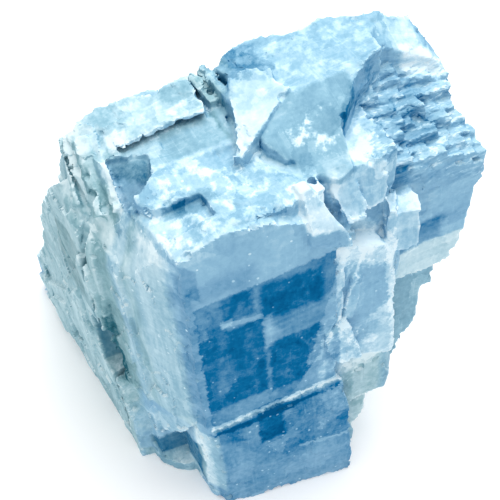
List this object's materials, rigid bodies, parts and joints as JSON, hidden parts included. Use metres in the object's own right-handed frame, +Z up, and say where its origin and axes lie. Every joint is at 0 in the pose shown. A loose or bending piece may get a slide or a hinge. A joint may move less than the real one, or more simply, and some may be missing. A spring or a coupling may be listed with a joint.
{
  "type": "blue calcite specimen",
  "caption": "Broken hand specimen of blue calcite: a stepped mass of intergrown cleavage blocks with a smooth front wall and frosted tops.",
  "frame": {"origin": "middle of the specimen's outline on the surface that it rests on", "axes": "+Z up, +X along the longest side to the right of the smooth front wall, and the front wall looks towards -Y"},
  "size_m": [0.0714, 0.0524, 0.0678],
  "materials": {
    "calcite": "translucent pale to deep blue calcite, frosted white on broken edges and tops"
  },
  "bodies": {
    "root": {"calcite_mass": "calcite"}
  },
  "joints": []
}
